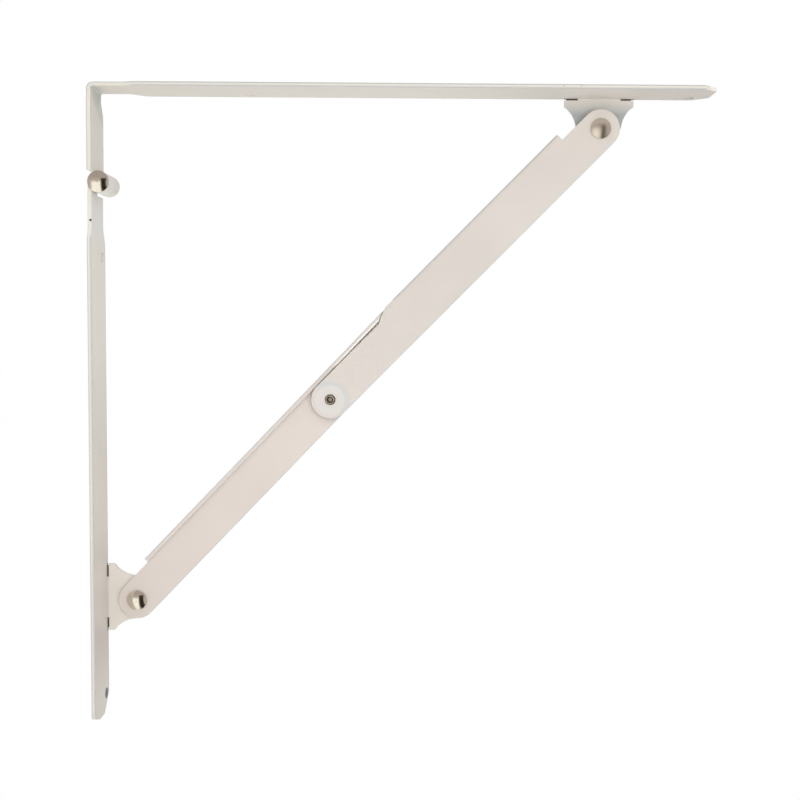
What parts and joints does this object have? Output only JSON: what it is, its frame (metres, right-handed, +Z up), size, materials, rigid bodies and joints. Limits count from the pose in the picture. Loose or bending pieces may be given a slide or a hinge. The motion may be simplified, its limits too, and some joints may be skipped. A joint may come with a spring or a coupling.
{
  "type": "folding shelf bracket",
  "caption": "Folding strip-steel shelf bracket with a rolled hinge and a jointed over-centre stay that holds the shelf leg square to the wall.",
  "frame": {"origin": "centre of the two wall screw holes, on the wall leg's wall face", "axes": "+X away from the wall, +Y across the strips towards the edge with the lugs, +Z up"},
  "size_m": [0.3, 0.0273, 0.3114],
  "materials": {
    "white_powder_coat": "warm white powder coat, satin",
    "nickel": "bright nickel plate"
  },
  "bodies": {
    "wall_side": {"wall_leg": "white_powder_coat", "hinge_rivet": "nickel", "lower_lug_rivet": "nickel"},
    "shelf_side": {"shelf_leg": "white_powder_coat", "upper_lug_rivet": "nickel", "upper_lug_spacer": "nickel"},
    "lower_stay": {"lower_stay_arm": "white_powder_coat", "knee_washer": "nickel", "knee_rivet_head": "nickel"},
    "upper_stay": {"upper_stay_arm": "white_powder_coat", "knee_rivet_tail": "nickel"}
  },
  "joints": [
    {"name": "shelf_fold", "type": "hinge", "parent": "wall_side", "child": "shelf_side", "pos_m": [0.0055, -0.0075, 0.1448], "axis": [0, 1, 0], "range_deg": [0, 88]},
    {"name": "lower_stay_swing", "type": "hinge", "parent": "wall_side", "child": "lower_stay", "pos_m": [0.0177, -0.0075, -0.0622], "axis": [0, 1, 0], "range_deg": [-43.2, 0]},
    {"name": "upper_stay_swing", "type": "hinge", "parent": "shelf_side", "child": "upper_stay", "pos_m": [0.2471, -0.0075, 0.1744], "axis": [0, 1, 0], "range_deg": [0, 40.6]}
  ],
  "couplings": [
    {"joint": "lower_stay_swing", "follows": "shelf_fold", "ratio": -0.48706},
    {"joint": "upper_stay_swing", "follows": "shelf_fold", "ratio": 0.45759}
  ]
}
